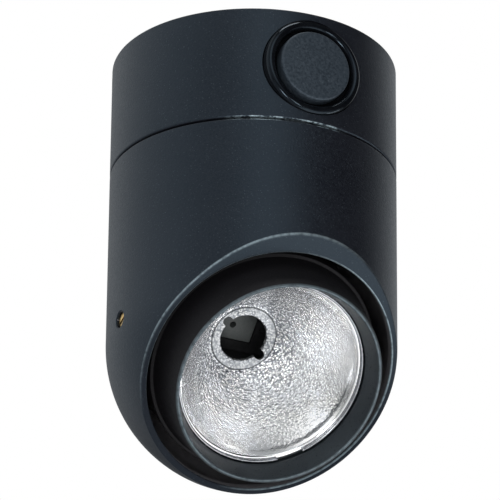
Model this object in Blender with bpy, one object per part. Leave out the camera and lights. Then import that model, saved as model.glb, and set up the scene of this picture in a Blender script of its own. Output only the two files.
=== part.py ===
"""Surface-mounted ceiling spotlight: a fixed base, a turning lower housing and a tilting lamp cup.

Metres, +Z up. The origin is the middle of the ceiling face, everything hangs below it, and the
lamp aims towards -Y and down. Heights named *_DEPTH are measured down from the ceiling.
"""

import math

import bmesh
import bpy
from mathutils import Euler, Matrix, Vector

MM = 0.001

# Fits
GAP = 0.3 * MM  # between touching pieces
SCREW_GAP = 0.3 * MM  # round a screw in its hole
SLIDE_GAP = 0.6 * MM  # between faces that turn past each other

# Body
BODY_RADIUS = 60 * MM
WALL = 3 * MM
BASE_DEPTH = 50.4 * MM  # bottom of the fixed base
CEILING_SHADOW = 0.5 * MM  # base rim stays this far below the ceiling
SEAM = 0.8 * MM  # shadow gap between base and lower housing
FLOOR = 4 * MM  # web at the bottom of the base
DOME_DEPTH = 127 * MM  # centre of the dome
EDGE_ROUND = 0.8 * MM

# Ceiling plate
PLATE_THICK = 2.5 * MM
KEYHOLE_PITCH = 88 * MM
KEYHOLE_HEAD = 4.5 * MM
KEYHOLE_SHANK = 2.2 * MM
KEYHOLE_RUN = 9 * MM
CABLE_HOLE_RADIUS = 6 * MM
CABLE_HOLE_X = 26 * MM
CABLE_HOLE_Y = -26 * MM
TAB_WIDTH = 14 * MM
TAB_THICK = 2 * MM
TAB_DROP = 12 * MM
LOCK_SCREW_TURNS = (112, 248)  # degrees round from the aim side
LOCK_SCREW_DEPTH = 8 * MM
LOCK_SCREW_RADIUS = 2 * MM

# Conduit entry and its blanking plug
ENTRY_TURN = -2.5  # degrees round from the aim side
ENTRY_DEPTH = 25.2 * MM
ENTRY_BORE = 11 * MM
SEAT_SINK = 7 * MM  # plug's seat, inside the body's radius
BOSS_THICK = 7 * MM  # behind the seat
BOSS_EDGE = 3 * MM  # beside the seat
RING_RADIUS = 21.1 * MM
RING_WIDTH = 3.9 * MM
RING_PROUD = 0.9 * MM  # past the body's radius
GROOVE_SINK = 3.5 * MM
GROOVE_WIDTH = 1.8 * MM
DISC_PROUD = 2.2 * MM
STEM_RADIUS = 8 * MM
PLUG_NUT_WIDTH = 4.5 * MM
PLUG_NUT_LENGTH = 5 * MM

# Supply side
BLOCK_SIZE = (34 * MM, 15 * MM, 13 * MM)
BLOCK_Y = -17 * MM
BLOCK_SCREW_PITCH = 10 * MM
BLOCK_SCREW_RADIUS = 2 * MM
GEAR_SIZE = (62 * MM, 32 * MM, 22 * MM)
GEAR_Y = 22 * MM
GEAR_EAR = 8 * MM
GEAR_EAR_THICK = 2.5 * MM
GEAR_SCREW_RADIUS = 1.6 * MM
EARTH_X = -30 * MM
EARTH_Y = -14 * MM
EARTH_RADIUS = 2 * MM

# Turning joint
TUBE_RADIUS = 10 * MM
TUBE_WALL = 3 * MM
TUBE_FLANGE_RADIUS = 17 * MM
TUBE_FLANGE_THICK = 2.5 * MM
BEARING_THICK = 2.2 * MM
LEDGE_WIDTH = 7 * MM
LEDGE_THICK = 5 * MM
BEARING_SCREW_TURNS = (60, 180, 300)
BEARING_SCREW_RADIUS = 1.5 * MM
SPRING_RADIUS = 17 * MM
SPRING_THICK = 1.5 * MM
PAN_NUT_WIDTH = 15 * MM
PAN_NUT_THICK = 6 * MM
FRICTION_RADIUS = 26 * MM
FRICTION_THICK = 2.9 * MM
STOP_RING = 38 * MM
STOP_RADIUS = 1.7 * MM
STOP_LUG = (4 * MM, 8 * MM)

# Aperture of the lower housing
AIM_ANGLE = 45  # degrees from straight down
FACE_DISTANCE = 24.2 * MM  # dome centre to the cut face, along the aim
FACE_THICK = 4 * MM
FACE_BORE = 52.4 * MM

# Tilting joint
PIVOT_RISE = 0.5 * MM  # above the dome centre
PIVOT_RADIUS = 3.1 * MM
PIVOT_RECESS = 1.2 * MM
SPACER_RADIUS = 7 * MM
PIVOT_NUT_WIDTH = 5.8 * MM
PIVOT_NUT_THICK = 3 * MM

# Lamp cup, measured along the aim from the dome centre
CUP_RADIUS = 48.3 * MM
CUP_WALL = 2.8 * MM
CUP_BACK = -16 * MM
CUP_BACK_THICK = 2.5 * MM
CUP_BACK_HOLE = 17 * MM
CUP_STEP = 15 * MM
CUP_STEP_IN = 1.5 * MM
LIP = 36.8 * MM
LIP_RADIUS = 44.2 * MM
LIP_WALL = 1.7 * MM

# Reflector
FLANGE = 24.6 * MM  # front face of its flange
FLANGE_RADIUS = 40 * MM
FLANGE_WIDTH = 2.6 * MM
SHEET = 1 * MM
BOWL_DEEP = 34.4 * MM  # flange face to neck ring
NECK_RADIUS = 15.4 * MM
NECK_DROP = 1.4 * MM
SOCKET_HOLE = 10 * MM
NOTCH_REACH = 13.2 * MM
NOTCH_WIDTH = 4.2 * MM
NOTCH_TURN = -32  # degrees round the aim from the tilt axis

# Wire ring that holds the reflector
WIRE_RADIUS = 0.75 * MM
WIRE_OPENING = 16  # degrees
WIRE_TURN = -58

# Lampholder and what carries it
HOLDER_WIDTH = 20 * MM
HOLDER_HEIGHT = 13 * MM
HOLDER_SET_BACK = 13.5 * MM  # behind the socket hole
HOLDER_LENGTH = 20 * MM
HOLDER_HOLE = 1.4 * MM
HOLDER_EAR = 8 * MM
HOLDER_EAR_THICK = 3 * MM
HOLDER_SCREW_RADIUS = 1.4 * MM
CRADLE_RADIUS = 26 * MM
CRADLE_THICK = 1.6 * MM
CRADLE_DROP = 9 * MM
CRADLE_SCREW_RING = 22.5 * MM
CRADLE_SCREW_RADIUS = 1.4 * MM
CONTACT_SIZE = (2 * MM, 4 * MM, 12 * MM)

# Screw heads
HEAD_SCALE = 1.8
HEAD_THICK = 1.4 * MM
SLOT_WIDTH = 0.8 * MM
SLOT_DEEP = 0.7 * MM

BIG, BOWL, MID, SMALL = 60, 48, 32, 14  # sides of round pieces

# What follows from the sizes above
SEAT_DISTANCE = BODY_RADIUS - SEAT_SINK
BOSS_BACK = SEAT_DISTANCE - BOSS_THICK
BOSS_SIDE = RING_RADIUS + GAP + BOSS_EDGE
GROOVE_DISTANCE = BODY_RADIUS - GROOVE_SINK
DISC_RADIUS = RING_RADIUS - RING_WIDTH - GROOVE_WIDTH
BEARING_DEPTH = BASE_DEPTH + FRICTION_THICK + 2 * GAP  # top face of the bearing plate
LEDGE_RADIUS = BODY_RADIUS - WALL - LEDGE_WIDTH
BEARING_SCREW_RING = LEDGE_RADIUS + LEDGE_WIDTH / 2

DOME = Vector((0, 0, -DOME_DEPTH))
PIVOT = DOME + Vector((0, 0, PIVOT_RISE))
AIM_TURN = Euler((math.pi - math.radians(AIM_ANGLE), 0, 0))

MATERIALS = {
    "powder_coat": ((0.030, 0.037, 0.042), 0.45, 0.0),
    "matt_black": ((0.008, 0.008, 0.009), 0.6, 0.0),
    "gloss_black": ((0.010, 0.011, 0.013), 0.15, 0.0),
    "stippled_aluminium": ((0.86, 0.87, 0.88), 0.2, 1.0),
    "zinc_steel": ((0.62, 0.63, 0.62), 0.35, 1.0),
    "black_steel": ((0.020, 0.020, 0.022), 0.5, 0.6),
    "spring_steel": ((0.55, 0.56, 0.58), 0.25, 1.0),
    "brass": ((0.78, 0.56, 0.25), 0.3, 1.0),
    "ceramic": ((0.11, 0.12, 0.12), 0.55, 0.0),
    "fibre": ((0.20, 0.06, 0.04), 0.8, 0.0),
    "nylon": ((0.55, 0.55, 0.52), 0.5, 0.0),
    "gear_case": ((0.35, 0.36, 0.37), 0.5, 0.0),
}


def clear_scene():
    for obj in list(bpy.data.objects):
        bpy.data.objects.remove(obj, do_unlink=True)


def material(kind, name):
    """A material of its own for one piece."""
    colour, roughness, metallic = MATERIALS[kind]
    made = bpy.data.materials.new(name)
    made.use_nodes = True
    shader = made.node_tree.nodes["Principled BSDF"]
    shader.inputs["Base Color"].default_value = (*colour, 1)
    shader.inputs["Roughness"].default_value = roughness
    shader.inputs["Metallic"].default_value = metallic
    return made


def new_object(name, mesh_maker, place=None, turn=None, parent=None):
    shape = bmesh.new()
    mesh_maker(shape)
    bmesh.ops.recalc_face_normals(shape, faces=shape.faces)
    data = bpy.data.meshes.new(name)
    shape.to_mesh(data)
    shape.free()
    obj = bpy.data.objects.new(name, data)
    bpy.context.scene.collection.objects.link(obj)
    obj.parent = parent
    obj.location = Vector(place or (0, 0, 0)) - origin_of(parent)
    obj.rotation_euler = turn or Euler((0, 0, 0))
    return obj


def origin_of(parent):
    """World place of a frame, which is never turned at rest."""
    spot = Vector((0, 0, 0))
    while parent is not None:
        spot += parent.location
        parent = parent.parent
    return spot


def frame(name, place, parent=None):
    empty = bpy.data.objects.new(name, None)
    bpy.context.scene.collection.objects.link(empty)
    empty.parent = parent
    empty.location = Vector(place) - origin_of(parent)
    return empty


def lathe(profile, sides, start=0.0):
    """Mesh maker: a closed outline of (radius, height) turned round local Z."""

    def make(shape):
        rings = []
        for radius, height in profile:
            if radius < 1e-9:
                rings.append([shape.verts.new((0, 0, height))] * sides)
                continue
            ring = []
            for i in range(sides):
                angle = start + 2 * math.pi * i / sides
                ring.append(shape.verts.new((radius * math.cos(angle), radius * math.sin(angle), height)))
            rings.append(ring)
        for a, b in zip(rings, rings[1:] + rings[:1]):
            for i in range(sides):
                j = (i + 1) % sides
                corners = list(dict.fromkeys((a[i], a[j], b[j], b[i])))
                if len(corners) > 2:
                    shape.faces.new(corners)

    return make


def prism(outline, low, high):
    """Mesh maker: a flat outline of (x, y) raised along local Z."""

    def make(shape):
        bottom = [shape.verts.new((x, y, low)) for x, y in outline]
        top = [shape.verts.new((x, y, high)) for x, y in outline]
        shape.faces.new(bottom[::-1])
        shape.faces.new(top)
        for i in range(len(outline)):
            j = (i + 1) % len(outline)
            shape.faces.new((bottom[i], bottom[j], top[j], top[i]))

    return make


def rectangle(width, height, x=0.0, y=0.0):
    w, h = width / 2, height / 2
    return [(x - w, y - h), (x + w, y - h), (x + w, y + h), (x - w, y + h)]


def capsule(length, width):
    """Outline of a slot with round ends."""
    points = []
    for side in (1, -1):
        for k in range(9):
            angle = math.pi * (k / 8 - 0.5)
            x = (length - width) / 2 + width / 2 * math.cos(angle)
            points.append((side * x, side * width / 2 * math.sin(angle)))
    return points


def disc(radius, low, high, sides=SMALL):
    """A round bar, turned a little so that no corner falls on a neighbour's edge."""
    return lathe([(0, low), (radius, low), (radius, high), (0, high)], sides, 0.07)


def ring(outer, inner, low, high, sides=MID):
    return lathe([(inner, low), (outer, low), (outer, high), (inner, high)], sides)


def hexagon(width):
    return [(width * math.cos(k * math.pi / 3), width * math.sin(k * math.pi / 3)) for k in range(6)]


def carve(obj, name, mesh_maker, place=None, turn=None, operation="DIFFERENCE"):
    """A Boolean with a hidden cutter, which follows the piece that it shapes."""
    tool = new_object(f"{obj.name}_{name}", mesh_maker, place, turn, obj.parent)
    tool.hide_render = True
    tool.display_type = "WIRE"
    step = obj.modifiers.new(name, "BOOLEAN")
    step.object = tool
    step.operation = operation
    step.solver = "EXACT"
    return tool


def finish(obj, kind, angle=35):
    obj.data.materials.append(material(kind, obj.name))
    obj.data.shade_smooth()
    obj.data.set_sharp_from_angle(angle=math.radians(angle))
    return obj


def round_about(turn, distance, height):
    """World point at a turn, in degrees round from the aim side (-Y), seen from above."""
    angle = math.radians(turn)
    return Vector((math.sin(angle) * distance, -math.cos(angle) * distance, height))


def facing(turn):
    """Rotation that points local Z outwards at this turn and keeps local Y up."""
    angle = math.radians(turn)
    out = Vector((math.sin(angle), -math.cos(angle), 0))
    up = Vector((0, 0, 1))
    side = up.cross(out)
    return Matrix((side, up, out)).transposed().to_euler()


def along_aim(x, y, distance):
    """World point from coordinates across and along the aim."""
    return DOME + AIM_TURN.to_matrix() @ Vector((x, y, distance))


def slotted_screw(name, place, turn, radius, length, kind, parent, head=True):
    """Its head's underside is at the place, its shank runs back along local -Z."""
    head_radius = radius * HEAD_SCALE if head else radius
    top = HEAD_THICK if head else 0.0
    profile = [(0, -length), (radius, -length), (radius, 0)]
    if head:
        profile += [(head_radius, 0), (head_radius, HEAD_THICK)]
    profile += [(0, top)]
    obj = new_object(name, lathe(profile, SMALL), place, turn, parent)
    slot = prism(rectangle(3 * head_radius, SLOT_WIDTH), top - SLOT_DEEP, top + SLOT_DEEP)
    carve(obj, "slot", slot, place, turn)
    return finish(obj, kind)


# Fixed base


def keyhole(x, y):
    """Outline of a keyhole slot that runs towards +X."""
    neck = math.asin(KEYHOLE_SHANK / KEYHOLE_HEAD)
    points = []
    for k in range(13):
        angle = neck + (2 * math.pi - 2 * neck) * k / 12
        points.append((x + KEYHOLE_HEAD * math.cos(angle), y + KEYHOLE_HEAD * math.sin(angle)))
    for k in range(7):
        angle = -math.pi / 2 + math.pi * k / 6
        end = x + KEYHOLE_RUN
        points.append((end + KEYHOLE_SHANK * math.cos(angle), y + KEYHOLE_SHANK * math.sin(angle)))
    return points


def make_ceiling_plate(base):
    radius = BODY_RADIUS - WALL - GAP
    obj = new_object("ceiling_plate", disc(radius, -PLATE_THICK, 0, BIG), parent=base)
    for number, side in enumerate((-1, 1), 1):
        start = side * KEYHOLE_PITCH / 2 - KEYHOLE_RUN / 2
        carve(obj, f"keyhole_{number}", prism(keyhole(start, 0), -2 * PLATE_THICK, PLATE_THICK))
    hole = disc(CABLE_HOLE_RADIUS, -2 * PLATE_THICK, PLATE_THICK)
    carve(obj, "cable_hole", hole, (CABLE_HOLE_X, CABLE_HOLE_Y, 0))
    for number, turn in enumerate(LOCK_SCREW_TURNS, 1):
        tab = prism(rectangle(TAB_WIDTH, TAB_DROP + PLATE_THICK / 2), -TAB_THICK, 0)
        spot = round_about(turn, radius - TAB_THICK / 2, -(TAB_DROP + PLATE_THICK / 2) / 2)
        carve(obj, f"tab_{number}", tab, spot, facing(turn), "UNION")
        bore = disc(LOCK_SCREW_RADIUS + SCREW_GAP, -2 * TAB_THICK, TAB_THICK)
        carve(obj, f"tab_bore_{number}", bore, round_about(turn, radius, -LOCK_SCREW_DEPTH), facing(turn))
    trim = ring(BODY_RADIUS * 1.3, radius, -3 * TAB_DROP, TAB_DROP, BIG)
    carve(obj, "trim", trim)
    for number, spot in enumerate(gear_screw_spots(), 1):
        bore = disc(GEAR_SCREW_RADIUS + SCREW_GAP, -2 * PLATE_THICK, PLATE_THICK)
        carve(obj, f"gear_bore_{number}", bore, (spot.x, spot.y, 0))
    bore = disc(EARTH_RADIUS + SCREW_GAP, -2 * PLATE_THICK, PLATE_THICK)
    carve(obj, "earth_bore", bore, (EARTH_X, EARTH_Y, 0))
    return finish(obj, "zinc_steel")


def make_base_housing(base):
    inner = BODY_RADIUS - WALL
    top, bottom = -CEILING_SHADOW, -BASE_DEPTH
    profile = [
        (TUBE_RADIUS + SLIDE_GAP, bottom),
        (BODY_RADIUS - EDGE_ROUND, bottom),
        (BODY_RADIUS, bottom + EDGE_ROUND),
        (BODY_RADIUS, top - EDGE_ROUND),
        (BODY_RADIUS - EDGE_ROUND, top),
        (inner, top),
        (inner, bottom + FLOOR),
        (TUBE_RADIUS + SLIDE_GAP, bottom + FLOOR),
    ]
    obj = new_object("base_housing", lathe(profile, BIG), parent=base)
    height = BASE_DEPTH - FLOOR / 2 - PLATE_THICK - GAP
    middle = -(PLATE_THICK + GAP + height / 2)
    boss = prism(rectangle(2 * BOSS_SIDE, height), BOSS_BACK, SEAT_DISTANCE + 1.4 * MM)
    carve(obj, "boss", boss, (0, 0, middle), facing(ENTRY_TURN), "UNION")
    seat = disc(RING_RADIUS + GAP, SEAT_DISTANCE, 2 * BODY_RADIUS, MID)
    carve(obj, "seat", seat, (0, 0, -ENTRY_DEPTH), facing(ENTRY_TURN))
    bore = disc(ENTRY_BORE, BOSS_BACK / 2, BODY_RADIUS, MID)
    carve(obj, "entry", bore, (0, 0, -ENTRY_DEPTH), facing(ENTRY_TURN))
    for number, turn in enumerate(LOCK_SCREW_TURNS, 1):
        bore = disc(LOCK_SCREW_RADIUS + SCREW_GAP, BODY_RADIUS / 2, 2 * BODY_RADIUS)
        carve(obj, f"lock_bore_{number}", bore, (0, 0, -LOCK_SCREW_DEPTH), facing(turn))
    hole = disc(STOP_RADIUS + SCREW_GAP, -2 * FLOOR, 2 * FLOOR)
    carve(obj, "stop_hole", hole, (0, STOP_RING, bottom + FLOOR / 2))
    return finish(obj, "powder_coat")


def make_lock_screws(base):
    length = WALL + GAP + TAB_THICK + 1.5 * MM
    for number, turn in enumerate(LOCK_SCREW_TURNS, 1):
        place = round_about(turn, BODY_RADIUS - GAP, -LOCK_SCREW_DEPTH)
        name = f"lock_screw_{number}"
        slotted_screw(name, place, facing(turn), LOCK_SCREW_RADIUS, length, "zinc_steel", base, False)


def make_plug(base):
    turn = facing(ENTRY_TURN)
    place = (0, 0, -ENTRY_DEPTH)
    back = SEAT_DISTANCE + GAP
    front = BODY_RADIUS + RING_PROUD
    crown = RING_WIDTH / 2
    profile = [(STEM_RADIUS + GAP, back), (RING_RADIUS, back)]
    for k in range(9):
        angle = math.pi * k / 8
        across = RING_RADIUS - crown + crown * math.cos(angle)
        profile.append((across, front - crown + crown * math.sin(angle)))
    profile += [(RING_RADIUS - RING_WIDTH, GROOVE_DISTANCE), (STEM_RADIUS + GAP, GROOVE_DISTANCE)]
    finish(new_object("plug_ring", lathe(profile, BOWL), place, turn, base), "gloss_black")
    face = BODY_RADIUS + DISC_PROUD
    stem_end = BOSS_BACK - PLUG_NUT_LENGTH - 2 * GAP - 1 * MM
    profile = [(0, stem_end), (STEM_RADIUS, stem_end), (STEM_RADIUS, GROOVE_DISTANCE + GAP)]
    profile += [(DISC_RADIUS, GROOVE_DISTANCE + GAP), (DISC_RADIUS, face - EDGE_ROUND)]
    profile += [(DISC_RADIUS - 0.3 * EDGE_ROUND, face - 0.3 * EDGE_ROUND), (DISC_RADIUS - EDGE_ROUND, face)]
    profile += [(0, face)]
    finish(new_object("plug_disc", lathe(profile, BOWL), place, turn, base), "powder_coat")
    nut_back = BOSS_BACK - GAP - PLUG_NUT_LENGTH
    nut = ring(STEM_RADIUS + PLUG_NUT_WIDTH, STEM_RADIUS + GAP, nut_back, BOSS_BACK - GAP)
    finish(new_object("plug_nut", nut, place, turn, base), "matt_black")


def make_terminal_block(base):
    width, deep, tall = BLOCK_SIZE
    top = -PLATE_THICK - GAP
    block = prism(rectangle(width, deep), -tall, 0)
    obj = new_object("terminal_block", block, (0, BLOCK_Y, top), None, base)
    for number in (1, 2, 3):
        x = (number - 2) * BLOCK_SCREW_PITCH
        well = disc(BLOCK_SCREW_RADIUS + SCREW_GAP, -tall - GAP, -tall / 2)
        carve(obj, f"well_{number}", well, (x, BLOCK_Y, top))
        wire = disc(BLOCK_SCREW_RADIUS, -deep, deep)
        carve(obj, f"wire_{number}", wire, (x, BLOCK_Y, top - tall / 2), Euler((math.pi / 2, 0, 0)))
    finish(obj, "nylon")
    for number, pole in enumerate(("live", "neutral", "earth"), 1):
        place = (((number - 2) * BLOCK_SCREW_PITCH), BLOCK_Y, top - tall + HEAD_THICK)
        length = tall / 2 - HEAD_THICK - GAP
        down = Euler((math.pi, 0, 0))
        name = f"terminal_screw_{pole}"
        slotted_screw(name, place, down, BLOCK_SCREW_RADIUS, length, "brass", base, False)


def gear_screw_spots():
    reach = GEAR_SIZE[0] / 2 + GEAR_EAR / 2
    top = -PLATE_THICK - GAP
    return [Vector((side * reach, GEAR_Y, top)) for side in (-1, 1)]


def make_control_gear(base):
    width, deep, tall = GEAR_SIZE
    top = -PLATE_THICK - GAP
    place = (0, GEAR_Y, top)
    obj = new_object("control_gear", prism(rectangle(width, deep), -tall, 0), place, None, base)
    ears = prism(rectangle(width + 2 * GEAR_EAR, deep / 2), -GEAR_EAR_THICK, 0)
    carve(obj, "ears", ears, place, None, "UNION")
    for number, spot in enumerate(gear_screw_spots(), 1):
        bore = disc(GEAR_SCREW_RADIUS + SCREW_GAP, -2 * GEAR_EAR_THICK, GEAR_EAR_THICK)
        carve(obj, f"bore_{number}", bore, spot)
    finish(obj, "gear_case")
    for number, spot in enumerate(gear_screw_spots(), 1):
        under = spot - Vector((0, 0, GEAR_EAR_THICK + GAP))
        length = GEAR_EAR_THICK + PLATE_THICK + GAP
        down = Euler((math.pi, 0, 0))
        slotted_screw(f"gear_screw_{number}", under, down, GEAR_SCREW_RADIUS, length, "zinc_steel", base)


def make_earth_screw(base):
    place = (EARTH_X, EARTH_Y, -PLATE_THICK - GAP)
    down = Euler((math.pi, 0, 0))
    slotted_screw("earth_screw", place, down, EARTH_RADIUS, PLATE_THICK, "brass", base)


def make_stop_pin(base):
    top = -BASE_DEPTH + FLOOR + GAP
    length = FLOOR + GAP + (BEARING_DEPTH - SLIDE_GAP - BASE_DEPTH)
    slotted_screw("stop_pin", (0, STOP_RING, top), None, STOP_RADIUS, length, "zinc_steel", base)


# Turning lower part


def make_lower_housing(pan):
    inner = BODY_RADIUS - WALL
    top = DOME_DEPTH - BASE_DEPTH - SEAM
    outer = [(0, -BODY_RADIUS)]
    steps = 14
    for k in range(1, steps + 1):
        angle = math.pi / 2 * k / steps
        outer.append((BODY_RADIUS * math.sin(angle), -BODY_RADIUS * math.cos(angle)))
    outer += [(BODY_RADIUS, top - EDGE_ROUND), (BODY_RADIUS - EDGE_ROUND, top), (0, top)]
    obj = new_object("lower_housing", lathe(outer, BIG), DOME, None, pan)
    slab = prism(rectangle(4 * BODY_RADIUS, 4 * BODY_RADIUS), FACE_DISTANCE, 3 * BODY_RADIUS)
    carve(obj, "face", slab, DOME, AIM_TURN)
    ledge_top = DOME_DEPTH - BEARING_DEPTH - BEARING_THICK - GAP
    hollow = [(0, -inner)]
    for k in range(1, steps + 1):
        angle = math.pi / 2 * k / steps
        hollow.append((inner * math.sin(angle), -inner * math.cos(angle)))
    hollow += [(inner, ledge_top - LEDGE_THICK), (LEDGE_RADIUS, ledge_top - LEDGE_THICK)]
    hollow += [(LEDGE_RADIUS, ledge_top), (inner + WALL / 3, ledge_top)]
    hollow += [(inner + WALL / 3, top + WALL), (0, top + WALL)]
    tool = carve(obj, "hollow", lathe(hollow, BIG), DOME, None)
    slab = prism(rectangle(4 * BODY_RADIUS, 4 * BODY_RADIUS), FACE_DISTANCE - FACE_THICK, 3 * BODY_RADIUS)
    carve(tool, "face", slab, DOME, AIM_TURN)
    bore = disc(FACE_BORE, 0, 2 * BODY_RADIUS, BIG)
    carve(obj, "bore", bore, DOME, AIM_TURN)
    side = disc(PIVOT_RADIUS + SCREW_GAP, -2 * BODY_RADIUS, 2 * BODY_RADIUS)
    carve(obj, "pivot_holes", side, PIVOT, Euler((0, math.pi / 2, 0)))
    for number, turn in enumerate(BEARING_SCREW_TURNS, 1):
        hole = disc(BEARING_SCREW_RADIUS + SCREW_GAP, ledge_top - LEDGE_THICK - WALL, ledge_top + WALL)
        spot = round_about(turn, BEARING_SCREW_RING, -DOME_DEPTH)
        carve(obj, f"ledge_hole_{number}", hole, spot)
    return finish(obj, "powder_coat", 30)


def make_bearing_plate(pan):
    radius = BODY_RADIUS - WALL + WALL / 3 - GAP
    low = -BEARING_THICK
    place = (0, 0, -BEARING_DEPTH)
    plate = ring(radius, TUBE_RADIUS + GAP, low, 0, BIG)
    obj = new_object("bearing_plate", plate, place, None, pan)
    for number, turn in enumerate(BEARING_SCREW_TURNS, 1):
        hole = disc(BEARING_SCREW_RADIUS + SCREW_GAP, 2 * low, -low)
        carve(obj, f"hole_{number}", hole, round_about(turn, BEARING_SCREW_RING, -BEARING_DEPTH))
    wide, deep = STOP_LUG
    lug = prism(rectangle(wide, deep), low / 2, BEARING_DEPTH - BASE_DEPTH - SLIDE_GAP)
    carve(obj, "lug", lug, round_about(0, STOP_RING, -BEARING_DEPTH), None, "UNION")
    finish(obj, "zinc_steel")
    for number, turn in enumerate(BEARING_SCREW_TURNS, 1):
        spot = round_about(turn, BEARING_SCREW_RING, -BEARING_DEPTH + GAP)
        length = BEARING_THICK + GAP + LEDGE_THICK
        name = f"bearing_screw_{number}"
        slotted_screw(name, spot, None, BEARING_SCREW_RADIUS, length, "zinc_steel", pan)


def make_pan_tube(pan):
    flange_top = -(BEARING_DEPTH + BEARING_THICK + GAP)
    top = -BASE_DEPTH + FLOOR + SPRING_THICK + PAN_NUT_THICK + 2 * GAP + 2 * MM
    profile = [
        (TUBE_RADIUS - TUBE_WALL, flange_top - TUBE_FLANGE_THICK),
        (TUBE_FLANGE_RADIUS, flange_top - TUBE_FLANGE_THICK),
        (TUBE_FLANGE_RADIUS, flange_top),
        (TUBE_RADIUS, flange_top),
        (TUBE_RADIUS, top),
        (TUBE_RADIUS - TUBE_WALL, top),
    ]
    finish(new_object("pan_tube", lathe(profile, MID), None, None, pan), "zinc_steel")
    low = -BASE_DEPTH + FLOOR + GAP
    spring = ring(SPRING_RADIUS, TUBE_RADIUS + GAP, low, low + SPRING_THICK)
    finish(new_object("friction_spring", spring, None, None, pan), "spring_steel")
    low += SPRING_THICK + GAP
    nut = prism(hexagon(PAN_NUT_WIDTH), low, low + PAN_NUT_THICK)
    obj = new_object("pan_nut", nut, None, None, pan)
    carve(obj, "thread", disc(TUBE_RADIUS + GAP, low - PAN_NUT_THICK, low + 2 * PAN_NUT_THICK, MID))
    finish(obj, "brass")
    low = -BEARING_DEPTH + GAP
    washer = ring(FRICTION_RADIUS, TUBE_RADIUS + GAP, low, -BASE_DEPTH - GAP)
    finish(new_object("friction_washer", washer, None, None, pan), "fibre")


def make_pivots(pan, tilt):
    wall_in = math.sqrt((BODY_RADIUS - WALL) ** 2 - SPACER_RADIUS**2) - GAP
    for name, side in (("left", -1), ("right", 1)):
        turn = facing(90 * side)
        inner_end = CUP_RADIUS - CUP_WALL - PIVOT_NUT_THICK - 2 * GAP - 0.5 * MM
        face = BODY_RADIUS - PIVOT_RECESS
        shank = face - inner_end
        place = PIVOT + Vector((side * face, 0, 0))
        slotted_screw(f"pivot_screw_{name}", place, turn, PIVOT_RADIUS, shank, "brass", pan, False)
        spacer = ring(SPACER_RADIUS, PIVOT_RADIUS + GAP, CUP_RADIUS + GAP, wall_in, SMALL)
        obj = new_object(f"pivot_spacer_{name}", spacer, PIVOT, turn, tilt)
        finish(obj, "nylon")
        nut_out = math.sqrt((CUP_RADIUS - CUP_WALL) ** 2 - (PIVOT_NUT_WIDTH + PIVOT_RISE) ** 2) - GAP
        nut = prism(hexagon(PIVOT_NUT_WIDTH), nut_out - PIVOT_NUT_THICK, nut_out)
        obj = new_object(f"pivot_nut_{name}", nut, PIVOT, turn, tilt)
        thread = disc(PIVOT_RADIUS + SCREW_GAP, nut_out - 2 * PIVOT_NUT_THICK, nut_out + PIVOT_NUT_THICK)
        carve(obj, "thread", thread, PIVOT, turn)
        finish(obj, "zinc_steel")


# Tilting lamp unit


def bowl_radius(distance):
    """Inner radius of the reflector's parabola at this distance along the aim."""
    mouth = FLANGE_RADIUS - FLANGE_WIDTH
    rise = (distance - (FLANGE - BOWL_DEEP)) / BOWL_DEEP
    return math.sqrt(NECK_RADIUS**2 + (mouth**2 - NECK_RADIUS**2) * rise)


def make_lamp_cup(tilt):
    shoulder = FLANGE - SHEET - GAP
    seat = FLANGE_RADIUS - FLANGE_WIDTH + SHEET + GAP
    wire_room = FLANGE_RADIUS + GAP
    profile = [
        (CUP_BACK_HOLE, CUP_BACK),
        (CUP_RADIUS - EDGE_ROUND, CUP_BACK),
        (CUP_RADIUS, CUP_BACK + EDGE_ROUND),
        (CUP_RADIUS, CUP_STEP - 0.4 * MM),
        (CUP_RADIUS - 0.4 * MM, CUP_STEP),
        (CUP_RADIUS - CUP_STEP_IN, CUP_STEP),
        (LIP_RADIUS, LIP - 1.0 * MM),
        (LIP_RADIUS - 0.35 * LIP_WALL, LIP),
        (LIP_RADIUS - 0.75 * LIP_WALL, LIP),
        (LIP_RADIUS - LIP_WALL, LIP - 0.8 * MM),
        (wire_room - 0.4 * MM, FLANGE + 3.2 * WIRE_RADIUS),
        (wire_room + 0.5 * MM, FLANGE + 2.6 * WIRE_RADIUS),
        (wire_room + 0.5 * MM, FLANGE),
        (wire_room, shoulder),
        (seat, shoulder),
        (seat, shoulder - 3 * MM),
        (CUP_RADIUS - CUP_WALL, shoulder - 9 * MM),
        (CUP_RADIUS - CUP_WALL, CUP_BACK + CUP_BACK_THICK),
        (CUP_BACK_HOLE, CUP_BACK + CUP_BACK_THICK),
    ]
    obj = new_object("lamp_cup", lathe(profile, BIG), DOME, AIM_TURN, tilt)
    side = disc(PIVOT_RADIUS + SCREW_GAP, -2 * BODY_RADIUS, 2 * BODY_RADIUS)
    carve(obj, "pivot_holes", side, PIVOT, Euler((0, math.pi / 2, 0)))
    for number, spot in enumerate(cradle_spots(), 1):
        hole = disc(CRADLE_SCREW_RADIUS + SCREW_GAP, -CUP_BACK_THICK, 2 * CUP_BACK_THICK)
        carve(obj, f"back_hole_{number}", hole, along_aim(*spot, CUP_BACK), AIM_TURN)
    return finish(obj, "matt_black")


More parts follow.
